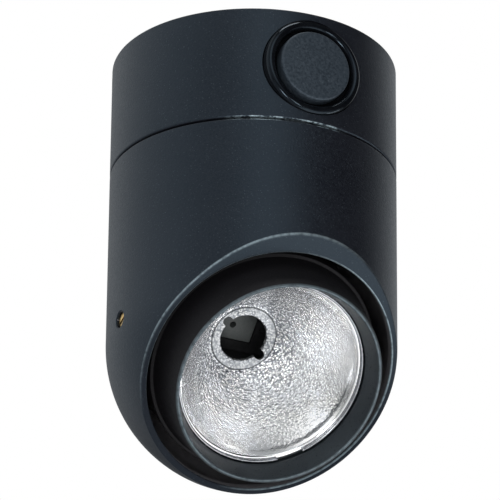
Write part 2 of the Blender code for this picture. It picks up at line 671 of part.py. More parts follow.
def make_reflector(tilt):
    steps = 9
    neck = FLANGE - BOWL_DEEP
    mouth = FLANGE_RADIUS - FLANGE_WIDTH
    inside = [(FLANGE_RADIUS, FLANGE), (mouth + 0.6 * MM, FLANGE), (mouth, FLANGE - 0.6 * MM)]
    for k in range(steps):
        distance = FLANGE - 2.2 * MM - (BOWL_DEEP - 2.2 * MM) * k / (steps - 1)
        inside.append((bowl_radius(distance), distance))
    inside.append((SOCKET_HOLE, neck - NECK_DROP))
    outside = [(SOCKET_HOLE, neck - NECK_DROP - SHEET), (NECK_RADIUS + SHEET, neck - SHEET)]
    for k in range(1, steps):
        distance = neck + (BOWL_DEEP - 5 * MM) * k / (steps - 1)
        outside.append((bowl_radius(distance) + SHEET, distance))
    outside += [(mouth + SHEET, FLANGE - SHEET - 0.5 * MM), (mouth + SHEET, FLANGE - SHEET)]
    outside += [(FLANGE_RADIUS, FLANGE - SHEET)]
    obj = new_object("reflector", lathe(inside + outside, BOWL), DOME, AIM_TURN, tilt)
    low = neck - NECK_DROP - 4 * SHEET
    notch = prism(capsule(2 * NOTCH_REACH, NOTCH_WIDTH), low, neck + 0.5 * MM)
    spin = AIM_TURN.to_matrix() @ Matrix.Rotation(math.radians(NOTCH_TURN), 3, "Z")
    carve(obj, "notches", notch, DOME, spin.to_euler())
    return finish(obj, "stippled_aluminium")


def make_wire_ring(tilt):
    steps, sides = 40, 6
    centre = FLANGE_RADIUS - WIRE_RADIUS
    height = FLANGE + GAP + WIRE_RADIUS
    gap = math.radians(WIRE_OPENING)
    start = math.radians(WIRE_TURN) + gap / 2

    def make(shape):
        rings = []
        for k in range(steps + 1):
            angle = start + (2 * math.pi - gap) * k / steps
            out = Vector((math.cos(angle), math.sin(angle), 0))
            loop = []
            for i in range(sides):
                lean = 2 * math.pi * i / sides
                reach = centre + WIRE_RADIUS * math.cos(lean)
                loop.append(shape.verts.new(out * reach + Vector((0, 0, height + WIRE_RADIUS * math.sin(lean)))))
            rings.append(loop)
        shape.faces.new(rings[0])
        shape.faces.new(rings[-1][::-1])
        for a, b in zip(rings, rings[1:]):
            for i in range(sides):
                j = (i + 1) % sides
                shape.faces.new((a[i], a[j], b[j], b[i]))

    finish(new_object("wire_ring", make, DOME, AIM_TURN, tilt), "spring_steel")


def holder_front():
    return FLANGE - BOWL_DEEP - NECK_DROP - HOLDER_SET_BACK


def cradle_spots():
    return [(0, side * CRADLE_SCREW_RING) for side in (-1, 1)]


def holder_spots():
    reach = HOLDER_WIDTH / 2 + HOLDER_EAR / 2
    return [(side * reach, 0) for side in (-1, 1)]


def make_cradle(tilt):
    """Pressed strap: two feet on the cup's back and a bridge set back from it that holds the lampholder."""
    bridge_top = min(CUP_BACK - CRADLE_DROP, holder_front() - GAP)
    foot_top = CUP_BACK - GAP
    half = CRADLE_RADIUS
    bridge = HOLDER_HEIGHT / 2 + 4.5 * MM
    t = CRADLE_THICK
    outline = [
        (-half, foot_top - t), (-bridge - t, foot_top - t), (-bridge - t, bridge_top - t),
        (bridge + t, bridge_top - t), (bridge + t, foot_top - t), (half, foot_top - t),
        (half, foot_top), (bridge, foot_top), (bridge, bridge_top),
        (-bridge, bridge_top), (-bridge, foot_top), (-half, foot_top),
    ]
    wide = HOLDER_WIDTH / 2 + HOLDER_EAR
    upright = AIM_TURN.to_matrix() @ Matrix(((0, 0, 1), (1, 0, 0), (0, 1, 0)))
    obj = new_object("holder_cradle", prism(outline, -wide, wide), DOME, upright.to_euler(), tilt)
    window = rectangle(HOLDER_WIDTH + 2 * GAP, HOLDER_HEIGHT + 2 * GAP)
    carve(obj, "window", prism(window, bridge_top - 3 * t, bridge_top + t), DOME, AIM_TURN)
    for number, spot in enumerate(cradle_spots(), 1):
        hole = disc(CRADLE_SCREW_RADIUS + SCREW_GAP, -3 * t, 3 * t)
        carve(obj, f"foot_hole_{number}", hole, along_aim(*spot, foot_top), AIM_TURN)
    for number, spot in enumerate(holder_spots(), 1):
        hole = disc(HOLDER_SCREW_RADIUS + SCREW_GAP, -3 * t, 3 * t)
        carve(obj, f"bridge_hole_{number}", hole, along_aim(*spot, bridge_top), AIM_TURN)
    finish(obj, "black_steel")
    back = (AIM_TURN.to_matrix() @ Matrix.Rotation(math.pi, 3, "X")).to_euler()
    for number, spot in enumerate(cradle_spots(), 1):
        place = along_aim(*spot, foot_top - t - GAP)
        length = t + 2 * GAP + CUP_BACK_THICK
        slotted_screw(f"cradle_screw_{number}", place, back, CRADLE_SCREW_RADIUS, length, "zinc_steel", tilt)
    return bridge_top - t


def make_lampholder(tilt, bridge_back):
    front = holder_front()
    place = DOME
    body = prism(rectangle(HOLDER_WIDTH, HOLDER_HEIGHT), front - HOLDER_LENGTH, front)
    obj = new_object("lampholder", body, place, AIM_TURN, tilt)
    ear_front = bridge_back - GAP
    ears = rectangle(HOLDER_WIDTH + 2 * HOLDER_EAR, HOLDER_HEIGHT)
    carve(obj, "ears", prism(ears, ear_front - HOLDER_EAR_THICK, ear_front), place, AIM_TURN, "UNION")
    carve(obj, "socket", disc(HOLDER_HOLE, front - 6 * MM, front + MM), place, AIM_TURN)
    for number, spot in enumerate(holder_spots(), 1):
        hole = disc(HOLDER_SCREW_RADIUS + SCREW_GAP, -3 * HOLDER_EAR_THICK, 3 * HOLDER_EAR_THICK)
        carve(obj, f"ear_hole_{number}", hole, along_aim(*spot, ear_front), AIM_TURN)
    thick, wide, long = CONTACT_SIZE
    bottom = front - HOLDER_LENGTH
    for number, side in enumerate((-1, 1), 1):
        slot = rectangle(thick + 2 * GAP, wide + 2 * GAP, side * HOLDER_WIDTH / 4)
        carve(obj, f"contact_slot_{number}", prism(slot, bottom - MM, bottom + long / 2 + GAP), place, AIM_TURN)
    finish(obj, "ceramic")
    for name, side in (("left", -1), ("right", 1)):
        strip = prism(rectangle(thick, wide, side * HOLDER_WIDTH / 4), bottom - long / 2, bottom + long / 2)
        finish(new_object(f"contact_{name}", strip, place, AIM_TURN, tilt), "brass")
    back = (AIM_TURN.to_matrix() @ Matrix.Rotation(math.pi, 3, "X")).to_euler()
    for number, spot in enumerate(holder_spots(), 1):
        under = along_aim(*spot, ear_front - HOLDER_EAR_THICK - GAP)
        length = HOLDER_EAR_THICK + CRADLE_THICK + 2 * GAP
        slotted_screw(f"holder_screw_{number}", under, back, HOLDER_SCREW_RADIUS, length, "black_steel", tilt)


def main():
    clear_scene()
    base = frame("base_frame", (0, 0, 0))
    pan = frame("pan_frame", (0, 0, -BASE_DEPTH - SEAM / 2), base)
    tilt = frame("tilt_frame", PIVOT, pan)
    make_ceiling_plate(base)
    make_base_housing(base)
    make_lock_screws(base)
    make_plug(base)
    make_terminal_block(base)
    make_control_gear(base)
    make_earth_screw(base)
    make_stop_pin(base)
    make_lower_housing(pan)
    make_bearing_plate(pan)
    make_pan_tube(pan)
    make_pivots(pan, tilt)
    make_lamp_cup(tilt)
    make_reflector(tilt)
    make_wire_ring(tilt)
    make_lampholder(tilt, make_cradle(tilt))


main()
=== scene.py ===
import math

import bmesh
import bpy
from mathutils import Euler, Matrix, Vector


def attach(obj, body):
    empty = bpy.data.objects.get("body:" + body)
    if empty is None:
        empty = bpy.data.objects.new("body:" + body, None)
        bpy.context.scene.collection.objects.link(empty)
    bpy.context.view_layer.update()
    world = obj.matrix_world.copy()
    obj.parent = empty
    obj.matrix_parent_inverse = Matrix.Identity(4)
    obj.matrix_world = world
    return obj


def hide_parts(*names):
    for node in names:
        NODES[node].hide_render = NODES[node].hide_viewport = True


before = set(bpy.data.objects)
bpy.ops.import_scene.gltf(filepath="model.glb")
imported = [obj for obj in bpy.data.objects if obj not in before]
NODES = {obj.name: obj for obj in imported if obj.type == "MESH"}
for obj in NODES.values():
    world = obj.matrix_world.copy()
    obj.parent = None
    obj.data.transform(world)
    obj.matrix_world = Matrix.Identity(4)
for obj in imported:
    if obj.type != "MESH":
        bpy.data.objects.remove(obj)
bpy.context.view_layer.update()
MM = 0.001
FULL_TURN = 2 * math.pi
CORNER_STEPS = 5

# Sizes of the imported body, in metres. Depths are measured down from the ceiling.
BODY = 60 * MM
WALL = 3 * MM
RIM_TOP = -0.5 * MM
BASE_BOTTOM = -50.4 * MM
LOWER_TOP = -51.2 * MM
DOME = Vector((0, 0, -127 * MM))
PIVOT = DOME + Vector((0, 0, 0.5 * MM))
AIM = Euler((math.radians(135), 0, 0)).to_matrix()
FACE = 24.2 * MM
FACE_THICK = 4 * MM
BORE = 52.4 * MM
LIP = 36.8 * MM
ENTRY_TURN = -2.5
ENTRY = Vector((0, 0, -25.2 * MM))
PIVOT_HOLE = 3.4 * MM
RING_RADIUS = 21.1 * MM
RING_SEAT = 53.3 * MM
LOCK_TURNS = (112, 248)
LOCK_HOLE = 2.3 * MM
LOCK_HEIGHT = -8 * MM


# Placing and modelling


def start():
    """Leaves edit mode with nothing selected."""
    if bpy.context.mode != "OBJECT":
        bpy.ops.object.mode_set(mode="OBJECT")
    bpy.ops.object.select_all(action="DESELECT")


def facing(turn):
    """Turns local Z outwards at this angle round from the aim side, local Y staying up."""
    angle = math.radians(turn)
    out = Vector((math.sin(angle), -math.cos(angle), 0))
    up = Vector((0, 0, 1))
    return Matrix((up.cross(out), up, out)).transposed()


def seated(place, turn):
    return Matrix.Translation(place) @ turn.to_4x4()


def settle(piece, matrix=None):
    """Puts the piece's place into its mesh."""
    start()
    piece.matrix_world = matrix or piece.matrix_world
    bpy.context.view_layer.objects.active = piece
    piece.select_set(True)
    bpy.ops.object.transform_apply(location=True, rotation=True, scale=True)
    return piece


def pick(piece, kind, test):
    """Selects the vertices or faces that pass a test, and stays in edit mode."""
    bpy.ops.object.mode_set(mode="EDIT")
    bpy.ops.mesh.select_mode(type=kind)
    bpy.ops.mesh.select_all(action="DESELECT")
    shape = bmesh.from_edit_mesh(piece.data)
    shape.verts.ensure_lookup_table()
    for item in {"VERT": shape.verts, "FACE": shape.faces}[kind]:
        if test(item):
            item.select_set(True)
    shape.select_flush(True)
    bmesh.update_edit_mesh(piece.data)


def turned(name, outline, sides, angle=FULL_TURN):
    """Spins a closed outline of (radius, height) round local Z. Less than a full turn gets end caps."""
    start()
    bpy.ops.mesh.primitive_plane_add(size=MM)
    piece = bpy.context.object
    piece.name = piece.data.name = name
    bpy.ops.object.mode_set(mode="EDIT")
    bpy.ops.mesh.select_mode(type="VERT")
    bpy.ops.mesh.select_all(action="SELECT")
    bpy.ops.mesh.merge(type="CENTER")
    first = Vector((outline[0][0], 0, outline[0][1]))
    bpy.ops.transform.translate(value=first)
    before = first
    for radius, height in outline[1:]:
        here = Vector((radius, 0, height))
        bpy.ops.mesh.extrude_vertices_move(TRANSFORM_OT_translate={"value": here - before})
        before = here
    ends = (0, len(outline) - 1)
    pick(piece, "VERT", lambda vertex: vertex.index in ends)
    bpy.ops.mesh.edge_face_add()
    bpy.ops.mesh.select_all(action="SELECT")
    bpy.ops.mesh.spin(steps=sides, angle=angle, center=(0, 0, 0), axis=(0, 0, 1))
    bpy.ops.mesh.select_all(action="SELECT")
    bpy.ops.mesh.remove_doubles(threshold=0.002 * MM)
    if angle < FULL_TURN:
        bpy.ops.mesh.select_all(action="DESELECT")
        bpy.ops.mesh.select_non_manifold()
        bpy.ops.mesh.fill_holes(sides=0)
    bpy.ops.mesh.select_all(action="SELECT")
    bpy.ops.mesh.normals_make_consistent(inside=False)
    bpy.ops.object.mode_set(mode="OBJECT")
    return piece


def box(name, size, place=(0, 0, 0)):
    start()
    bpy.ops.mesh.primitive_cube_add(size=1, location=place)
    piece = bpy.context.object
    piece.name = piece.data.name = name
    piece.scale = size
    return settle(piece)


def rod(name, radius, length, place, sides):
    start()
    bpy.ops.mesh.primitive_cylinder_add(vertices=sides, radius=radius, depth=length, location=place)
    piece = bpy.context.object
    piece.name = piece.data.name = name
    return settle(piece)


def combined(piece, tool, operation="DIFFERENCE"):
    """Cuts or joins with another shape, which is used up."""
    start()
    bpy.context.view_layer.objects.active = piece
    piece.select_set(True)
    step = piece.modifiers.new("shape", "BOOLEAN")
    step.object = tool
    step.operation = operation
    step.solver = "EXACT"
    bpy.ops.object.modifier_apply(modifier=step.name)
    bpy.data.objects.remove(tool, do_unlink=True)
    return piece


def bevelled(piece, width, segments, angle=35):
    start()
    bpy.context.view_layer.objects.active = piece
    piece.select_set(True)
    step = piece.modifiers.new("edge", "BEVEL")
    step.width = width
    step.segments = segments
    step.limit_method = "ANGLE"
    step.angle_limit = math.radians(angle)
    step.use_clamp_overlap = True
    bpy.ops.object.modifier_apply(modifier=step.name)
    return piece


def smooth(piece, angle):
    start()
    bpy.context.view_layer.objects.active = piece
    piece.select_set(True)
    bpy.ops.object.shade_smooth_by_angle(angle=math.radians(angle))
    return piece


def curve_between(a, corner, b, steps):
    """Points from a to b on a curve that a corner pulls towards it."""
    places = [k / steps for k in range(steps + 1)]
    return [a * (1 - t) ** 2 + corner * 2 * t * (1 - t) + b * t**2 for t in places]


def rounded(corner, before, after, size):
    """Points of a rounded corner between two neighbours of an outline."""
    corner, before, after = (Vector(p) for p in (corner, before, after))
    a = corner + (before - corner).normalized() * size
    b = corner + (after - corner).normalized() * size
    return [tuple(point) for point in curve_between(a, corner, b, CORNER_STEPS)]


def soft_outline(corners):
    """A closed outline from (radius, height, rounding) corners."""
    points = []
    for k, (x, y, size) in enumerate(corners):
        if size == 0:
            points.append((x, y))
            continue
        before, after = corners[k - 1], corners[(k + 1) % len(corners)]
        points += rounded((x, y), before[:2], after[:2], size)
    return points


def second_finish(piece, finish, test):
    """Gives another finish to the faces that pass a test."""
    start()
    bpy.context.view_layer.objects.active = piece
    piece.select_set(True)
    piece.data.materials.append(finish)
    piece.active_material_index = len(piece.data.materials) - 1
    pick(piece, "FACE", test)
    bpy.ops.object.material_slot_assign()
    bpy.ops.object.mode_set(mode="OBJECT")


def from_aim(point):
    """Distance along the aim from the dome's centre, and off the aim axis."""
    local = AIM.transposed() @ (point - DOME)
    return local.z, math.hypot(local.x, local.y)


def placed(piece, finish, body, node):
    """Gives a finished piece its finish and body, and hides the CAD node that it stands for."""
    piece.data.materials.clear()
    piece.data.materials.append(finish)
    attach(piece, body)
    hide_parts(node)


# Finishes


class Wire:
    """A socket that takes part in sums."""

    def __init__(self, finish, socket):
        self.finish, self.socket = finish, socket

    def sum(self, operation, first, second):
        return self.finish.node("ShaderNodeMath", {"operation": operation}, {0: first, 1: second})

    def __add__(self, other):
        return self.sum("ADD", self, other)

    __radd__ = __add__

    def __mul__(self, other):
        return self.sum("MULTIPLY", self, other)

    __rmul__ = __mul__

    def __sub__(self, other):
        return self.sum("SUBTRACT", self, other)

    def __rsub__(self, other):
        return self.sum("SUBTRACT", other, self)

    def __pow__(self, other):
        return self.sum("POWER", self, other)

    def __rpow__(self, other):
        return self.sum("POWER", other, self)


class Nodes:
    """A node tree that grows by one call for each node."""

    def __init__(self, tree):
        self.tree = tree

    def node(self, kind, settings, inputs, output=0):
        made = self.tree.nodes.new(kind)
        for key, value in settings.items():
            setattr(made, key, value)
        for key, value in inputs.items():
            self.join(made.inputs[key], value)
        return made if output is None else Wire(self, made.outputs[output])

    def join(self, socket, value):
        if isinstance(value, Wire):
            self.tree.links.new(value.socket, socket)
        elif isinstance(value, tuple) and len(value) == 3 and socket.type == "RGBA":
            socket.default_value = (*value, 1)
        else:
            socket.default_value = value


class Finish(Nodes):
    """A surface finish: its node tree and the shader that ends it."""

    def __init__(self, name, roughness=0.5, metallic=0.0, **fixed):
        self.made = bpy.data.materials.new(name)
        self.made.use_nodes = True
        super().__init__(self.made.node_tree)
        self.shader = self.tree.nodes["Principled BSDF"]
        self.set("Roughness", roughness)
        self.set("Metallic", metallic)
        for key, value in fixed.items():
            self.set(key.replace("_", " ").title().replace("Ior", "IOR"), value)
        self.place = self.node("ShaderNodeTexCoord", {}, {}, "Object")

    def set(self, key, value):
        self.join(self.shader.inputs[key], value)

    def stretched(self, scale):
        """Object coordinates, scaled along each axis."""
        settings = {"operation": "MULTIPLY"}
        return self.node("ShaderNodeVectorMath", settings, {0: self.place, 1: scale})

    def noise(self, size, detail=2.0, rough=0.5, where=None, output=0):
        """Cloudy noise with features about this many metres across."""
        inputs = {"Vector": where or self.place, "Scale": 1 / size, "Detail": detail, "Roughness": rough}
        return self.node("ShaderNodeTexNoise", {}, inputs, output)

    def cells(self, size, where=None):
        """Distance from the nearest of many scattered points."""
        inputs = {"Vector": where or self.place, "Scale": 1 / size}
        return self.node("ShaderNodeTexVoronoi", {"feature": "F1"}, inputs)

    def span(self, value, low, high, out_low=0.0, out_high=1.0):
        """Stretches the part between low and high to another range, and holds it there beyond them."""
        inputs = {"Value": value, "From Min": low, "From Max": high, "To Min": out_low, "To Max": out_high}
        return self.node("ShaderNodeMapRange", {}, inputs)

    def mix(self, factor, first, second):
        settings = {"data_type": "RGBA"}
        return self.node("ShaderNodeMix", settings, {0: factor, 6: first, 7: second}, 2)

    def bump(self, *layers):
        """Bumps of (height, depth in metres), one on the other."""
        below = None
        for height, depth in layers:
            inputs = {"Height": height, "Distance": depth, "Strength": 1.0}
            if below is not None:
                inputs["Normal"] = below
            below = self.node("ShaderNodeBump", {}, inputs)
        self.set("Normal", below)
        return self

    def axis(self, name):
        return self.node("ShaderNodeSeparateXYZ", {}, {"Vector": self.place}, name)

    def aimed(self, axis):
        """One coordinate in the lamp unit's own directions, from the dome's centre."""
        moved = self.node("ShaderNodeVectorMath", {"operation": "SUBTRACT"}, {0: self.place, 1: DOME})
        way = AIM @ Vector(axis)
        return self.node("ShaderNodeVectorMath", {"operation": "DOT_PRODUCT"}, {0: moved, 1: way}, 1)

    def band(self, value, low, high, soft):
        """1 between two values, fading over a little either side."""
        return self.span(value, low - soft, low + soft) * self.span(value, high + soft, high - soft)

    def worn_and_highlit(self, mask, colour, metal):
        """Lays burnished metal over the finish's colour where the mask is 1: bared paint, and painted
        highlight where the mask follows edges that catch the light.
        """
        bare_metal_and_highlight = mask * self.span(self.noise(2.2 * MM, 3.0), 0.30, 0.55, 0.35, 1.0)
        self.set("Base Color", self.mix(bare_metal_and_highlight, colour, metal))
        self.set("Metallic", bare_metal_and_highlight)

    def along(self):
        """Distance along the aim from the dome's centre."""
        return self.aimed((0, 0, 1))

    def across(self):
        """Distance from the aim axis."""
        x, y = self.aimed((1, 0, 0)), self.aimed((0, 1, 0))
        return (x * x + y * y) ** 0.5

    def done(self):
        return self.made


def powder_coat():
    """Blue-black satin powder coat: orange peel, fine pale specks, and edges bared to metal, which also
    paint in the highlight lines of the lit edges.
    """
    f = Finish("powder_coat", 0.4, specular_tint=(0.56, 0.80, 1.0))
    cloud = f.noise(30 * MM, 3.0)
    grain = f.noise(0.9 * MM, 3.0, 0.6)
    speck = f.cells(1.1 * MM)
    fine = f.noise(0.45 * MM, 2.0)
    dark, light = (0.0070, 0.0070, 0.0105), (0.0150, 0.0155, 0.0200)
    colour = f.mix(f.span(grain + cloud * 0.5, 0.55, 1.0), dark, light)
    flecks = f.span(speck, 0.24, 0.08) * f.span(fine, 0.40, 0.62)
    colour = f.mix(flecks * 0.6, colour, (0.09, 0.11, 0.125))
    # Bared edges, also standing in for the highlight lines where light catches them: painted highlight.
    f.worn_and_highlit(coat_wear_and_highlights(f), colour, (0.42, 0.52, 0.57))
    cut_face = f.span(f.along(), FACE - 0.6 * MM, FACE - 0.2 * MM)
    dull = cut_face * f.span(f.axis("Z"), -120 * MM, -150 * MM)
    f.set("Roughness", f.span(grain, 0.3, 0.7, 0.34, 0.48) + dull * 0.5)
    return f.bump((grain, 0.08 * MM), (fine, 0.03 * MM)).done()


def coat_wear_and_highlights(f):
    """Where the coat is bared to metal and edge highlights are painted in: the cut face's rim on the left,
    its bore on the right, and the seam.
    """
    side, height, along = f.axis("X"), f.axis("Z"), f.along()
    rim = f.band(along, FACE - 0.62 * MM, FACE - 0.12 * MM, 0.12 * MM)
    rim = rim * f.span(height, -165 * MM, -130 * MM) * f.span(side, 25 * MM, -5 * MM, 0.1, 1.0)
    mouth = f.band(f.across(), BORE - 0.2 * MM, BORE + 0.75 * MM, 0.12 * MM)
    mouth = mouth * f.span(side, -5 * MM, 25 * MM)
    mouth = mouth * f.span(along, FACE - 1.2 * MM, FACE - 0.8 * MM)
    # Broken bright marks along the seam, only across the front where its edges catch the light: chipped
    # paint and painted highlight.
    seam_chips_and_glints = f.span(f.noise(3.5 * MM, 3.0, 0.7), 0.46, 0.56) * f.band(side, -33 * MM, 10 * MM, 4 * MM)
    seam = f.band(height, LOWER_TOP - 0.5 * MM, BASE_BOTTOM + 0.5 * MM, 0.15 * MM) * seam_chips_and_glints
    return rim * 0.6 + mouth * 0.7 + seam * 0.8


def satin_disc():
    """Moulded disc, a little greyer than the coat round it, with a mottled grain."""
    f = Finish("satin_disc", 0.45, specular_tint=(0.7, 0.86, 1.0))
    grain = f.noise(1.1 * MM, 4.0, 0.7)
    speck = f.cells(0.9 * MM)
    colour = f.mix(f.span(grain, 0.35, 0.65), (0.016, 0.022, 0.030), (0.046, 0.058, 0.072))
    flecks = f.span(speck, 0.22, 0.05) * f.span(grain, 0.5, 0.6)
    f.set("Base Color", f.mix(flecks * 0.6, colour, (0.16, 0.19, 0.21)))
    f.set("Roughness", f.span(grain, 0.3, 0.7, 0.38, 0.55))
    return f.bump((grain, 0.06 * MM)).done()


def matt_black():
    """Dull, dusty baked black paint, bared to metal along the lip; that bare band also paints in the
    bright highlight line along the lip's rim.
    """
    f = Finish("matt_black", 0.62, specular_ior_level=0.3)
    grain = f.noise(0.7 * MM, 3.0, 0.6)
    cloud = f.noise(14 * MM, 2.0)
    dust = f.span(f.cells(1.2 * MM), 0.22, 0.08) * f.span(grain, 0.45, 0.6)
    dark, light = (0.0035, 0.0032, 0.0042), (0.0085, 0.0076, 0.0098)
    colour = f.mix(f.span(grain + cloud * 0.4, 0.45, 0.95), dark, light)
    colour = f.mix(dust * 0.4, colour, (0.07, 0.065, 0.08))
    # Bared lip band, which also paints in the highlight line along the rim.
    f.worn_and_highlit(lip_wear_and_highlight(f), colour, (0.11, 0.135, 0.15))
    f.set("Roughness", f.span(grain, 0.3, 0.7, 0.52, 0.7))
    return f.bump((grain, 0.03 * MM)).done()


# The lip's rim band: paint bared to metal, and the painted highlight line along it.
def lip_wear_and_highlight(f):
    return f.band(f.along(), LIP - 0.45 * MM, LIP + 1 * MM, 0.12 * MM)


def satin_black():
    """The same paint where it is smooth, on the lip's inner wall."""
    f = Finish("satin_black", 0.33, specular_tint=(0.75, 0.9, 1.0))
    grain = f.noise(0.7 * MM, 3.0, 0.6)
    cloud = f.noise(14 * MM, 2.0)
    colour = f.mix(f.span(grain + cloud, 0.6, 1.3), (0.0105, 0.0125, 0.0150), (0.0200, 0.0235, 0.0280))
    # Bared lip band, which also paints in the highlight line along the rim.
    f.worn_and_highlit(lip_wear_and_highlight(f), colour, (0.11, 0.135, 0.15))
    f.set("Roughness", f.span(grain, 0.3, 0.7, 0.26, 0.40))
    return f.bump((grain, 0.03 * MM)).done()


def bare_casting_painted_light():
    """Unpainted grey casting with a sandy skin; its pale grey also stands in for light reaching the
    housing's inside through the gap: painted light.
    """
    f = Finish("bare_casting_painted_light", 0.65, 0.35)
    grain = f.noise(0.8 * MM, 4.0, 0.7)
    cloud = f.noise(10 * MM, 3.0)
    dark, light = (0.16, 0.155, 0.17), (0.30, 0.29, 0.31)
    f.set("Base Color", f.mix(f.span(grain + cloud * 0.6, 0.5, 1.05), dark, light))
    f.set("Roughness", f.span(grain, 0.3, 0.7, 0.55, 0.75))
    return f.bump((grain, 0.06 * MM)).done()


def gloss_black():
    """Polished black moulding with faint flow marks."""
    f = Finish("gloss_black", 0.1, specular_ior_level=0.32, specular_tint=(0.62, 0.82, 1.0))
    flow = f.noise(9 * MM, 2.0)
    fine = f.noise(1.2 * MM, 2.0)
    f.set("Base Color", f.mix(f.span(flow, 0.3, 0.7), (0.003, 0.0035, 0.005), (0.007, 0.008, 0.010)))
    f.set("Roughness", f.span(fine, 0.3, 0.7, 0.05, 0.14))
    return f.bump((fine, 0.012 * MM)).done()


def stippled_aluminium():
    """Bright anodised aluminium with a close peened stipple that stops short of the flange. Its dimples, a
    flat ring round the hole and a line round the neck bead are coloured darker: painted shade.
    """
    f = Finish("stippled_aluminium", 0.14, 1.0)
    warp = f.noise(1.3 * MM, 2.0, output=1)
    bent = f.node("ShaderNodeVectorMath", {"operation": "SCALE"}, {0: warp, "Scale": 0.8 * MM})
    where = f.node("ShaderNodeVectorMath", {"operation": "ADD"}, {0: f.place, 1: bent})
    dimple = f.cells(1.15 * MM, where)
    small = f.noise(0.8 * MM, 2.0, 0.6)
    patch = f.noise(11 * MM, 2.0)
    across, along = f.across(), f.along()
    stippled = f.span(along, 19.5 * MM, 23 * MM, 1.0, 0.0)
    strong = stippled * f.span(patch, 0.35, 0.62, 0.7, 1.0)
    strong = strong * f.span(across, 34 * MM, 15 * MM, 0.32, 1.25)
    # Dimples coloured darker, most towards the middle: painted shade and dark reflection in the dimples.
    pit_shade = f.span(dimple - small * 0.3, 0.26, 0.46) * strong
    colour = f.mix(f.span(patch, 0.3, 0.7), (0.93, 0.94, 0.96), (0.985, 0.975, 0.955))
    colour = f.mix(pit_shade * 0.65, colour, (0.18, 0.20, 0.24))
    # The flat ring round the hole is coloured grey: painted shade.
    low = f.span(along, -8.8 * MM, -9.4 * MM)
    flat = f.span(across, 14.2 * MM, 13.8 * MM) * low
    colour = f.mix(flat * 0.4, colour, (0.34, 0.36, 0.38))
    # A dark line round the neck bead: painted shade in the crease.
    groove_shade = f.band(across, 13.7 * MM, 14.3 * MM, 0.15 * MM) * low
    f.set("Base Color", f.mix(groove_shade * 0.9, colour, (0.05, 0.055, 0.06)))
    f.set("Roughness", f.span(small, 0.3, 0.7, 0.10, 0.22) + flat * 0.15)
    return f.bump((dimple * strong, 0.45 * MM), (small * strong, 0.2 * MM)).done()


def black_steel():
    """Blackened steel with a dull oily sheen; its black also stands in for the shade deep in the hole
    behind the lampholder.
    """
    f = Finish("black_steel", 0.5, 0.6)
    patch = f.noise(5 * MM, 3.0)
    grain = f.noise(0.8 * MM, 3.0)
    dark, light = (0.012, 0.012, 0.013), (0.028, 0.028, 0.030)
    f.set("Base Color", f.mix(f.span(patch + grain * 0.4, 0.5, 0.9), dark, light))
    f.set("Roughness", f.span(grain, 0.3, 0.7, 0.42, 0.6))
    return f.bump((grain, 0.02 * MM)).done()


def zinc_steel():
    """Zinc plate: pale grey with a faint warm and blue cast and fine rolling lines."""
    f = Finish("zinc_steel", 0.34, 1.0)
    patch = f.noise(8 * MM, 3.0)
    lines = f.noise(1.2 * MM, 2.0, where=f.stretched((1, 14, 1)))
    f.set("Base Color", f.mix(f.span(patch, 0.35, 0.65), (0.56, 0.58, 0.62), (0.70, 0.68, 0.60)))
    f.set("Roughness", f.span(lines, 0.3, 0.7, 0.26, 0.44))
    return f.bump((lines, 0.01 * MM)).done()


def spring_steel():
    """Bright drawn wire with faint grey lines."""
    f = Finish("spring_steel", 0.2, 1.0)
    lines = f.noise(0.8 * MM, 3.0)
    f.set("Base Color", f.mix(f.span(lines, 0.3, 0.7), (0.30, 0.31, 0.34), (0.52, 0.53, 0.55)))
    f.set("Roughness", f.span(lines, 0.3, 0.7, 0.15, 0.3))
    return f.bump((lines, 0.01 * MM)).done()


def brass():
    """Turned brass, dulled a little, with tool rings."""
    f = Finish("brass", 0.25, 1.0)
    tarnish = f.noise(2.5 * MM, 4.0, 0.6)
    rings = f.noise(0.35 * MM, 2.0)
    f.set("Base Color", f.mix(f.span(tarnish, 0.35, 0.7), (0.85, 0.62, 0.28), (0.60, 0.38, 0.13)))
    f.set("Roughness", f.span(tarnish, 0.3, 0.7, 0.16, 0.36))
    return f.bump((rings, 0.008 * MM)).done()


def ceramic():
    """Unglazed steatite with a grainy break-up; its dark grey is painted shade, as the holder sits deep in
    the lamp's shadow.
    """
    f = Finish("ceramic", 0.5)
    grain = f.noise(0.6 * MM, 4.0, 0.65)
    patch = f.noise(7 * MM, 2.0)
    dark, light = (0.075, 0.082, 0.082), (0.125, 0.135, 0.132)
    f.set("Base Color", f.mix(f.span(grain + patch * 0.6, 0.5, 1.1), dark, light))
    f.set("Roughness", f.span(grain, 0.3, 0.7, 0.42, 0.62))
    return f.bump((grain, 0.03 * MM)).done()


def moulded(name, dark, light, size=0.8 * MM, depth=0.02 * MM, roughness=0.5):
    """Moulded or pressed material with a grain of its own."""
    f = Finish(name, roughness)
    grain = f.noise(size, 4.0, 0.6)
    cloud = f.noise(12 * MM, 2.0)
    f.set("Base Color", f.mix(f.span(grain + cloud * 0.6, 0.5, 1.05), dark, light))
    f.set("Roughness", f.span(grain, 0.3, 0.7, roughness - 0.08, roughness + 0.08))
    return f.bump((grain, depth)).done()


POWDER = powder_coat()
MATT = matt_black()
SATIN = satin_black()
CASTING_PAINTED_LIGHT = bare_casting_painted_light()
GLOSS = gloss_black()
STIPPLE = stippled_aluminium()
ZINC = zinc_steel()
BLACK_STEEL_AND_SHADE = black_steel()
DISC = satin_disc()
SPRING = spring_steel()
BRASS = brass()
SHADED_CERAMIC = ceramic()
FIBRE = moulded("fibre", (0.16, 0.045, 0.03), (0.27, 0.09, 0.06), 1.6 * MM, 0.05 * MM, 0.75)
NYLON = moulded("nylon", (0.50, 0.49, 0.44), (0.62, 0.61, 0.57))
BLACK_NYLON = moulded("black_nylon", (0.007, 0.007, 0.008), (0.016, 0.016, 0.018))
GEAR = moulded("gear_case", (0.30, 0.31, 0.32), (0.40, 0.41, 0.42), 1.2 * MM)


# Fixed base


